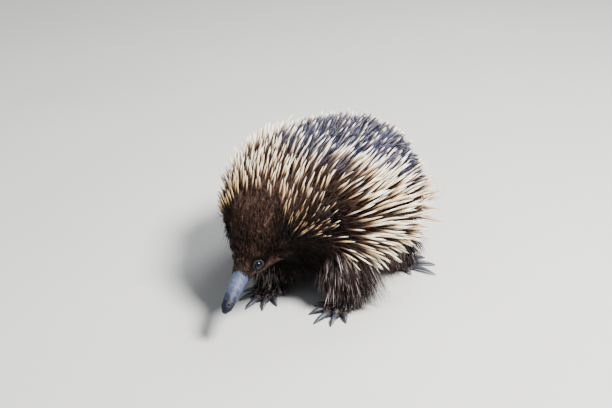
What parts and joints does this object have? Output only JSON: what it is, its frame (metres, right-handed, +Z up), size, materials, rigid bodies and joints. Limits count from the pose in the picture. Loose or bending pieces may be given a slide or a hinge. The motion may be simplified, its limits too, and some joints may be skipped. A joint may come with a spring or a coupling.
{
  "type": "echidna",
  "caption": "Life-size still model of a short-beaked echidna in mid-walk, beak lowered, spines laid back over a dark bristly coat.",
  "frame": {"origin": "middle of the bottom of the model's box, on the ground it stands on", "axes": "+Z up, the beak points to -Y, the animal's left side is +X"},
  "size_m": [0.257, 0.3676, 0.1913],
  "materials": {
    "spiny_coat": "cream and tan quills with dark roots, over dark brown fur",
    "fur": "dark brown bristly fur",
    "bare_skin": "bare blue-grey skin, darker at the tip of the beak",
    "eye": "wet black",
    "claw": "grey horn, slightly polished"
  },
  "bodies": {
    "root": {"rump": "spiny_coat", "back": "spiny_coat", "shoulders": "spiny_coat", "neck": "spiny_coat", "head": "fur", "beak": "bare_skin", "tail": "fur", "ear_left": "fur", "ear_right": "fur", "eye_left": "eye", "eye_right": "eye", "foreleg_left": "fur", "foreleg_right": "fur", "hindleg_left": "fur", "hindleg_right": "fur", "forefoot_left": "bare_skin", "forefoot_right": "bare_skin", "hindfoot_left": "bare_skin", "hindfoot_right": "bare_skin", "forefoot_left_claw_1": "claw", "forefoot_left_claw_2": "claw", "forefoot_left_claw_3": "claw", "forefoot_left_claw_4": "claw", "forefoot_left_claw_5": "claw", "forefoot_right_claw_1": "claw", "forefoot_right_claw_2": "claw", "forefoot_right_claw_3": "claw", "forefoot_right_claw_4": "claw", "forefoot_right_claw_5": "claw", "hindfoot_left_claw_1": "claw", "hindfoot_left_claw_2": "claw", "hindfoot_left_claw_3": "claw", "hindfoot_left_claw_4": "claw", "hindfoot_left_claw_5": "claw", "hindfoot_right_claw_1": "claw", "hindfoot_right_claw_2": "claw", "hindfoot_right_claw_3": "claw", "hindfoot_right_claw_4": "claw", "hindfoot_right_claw_5": "claw"}
  },
  "joints": []
}
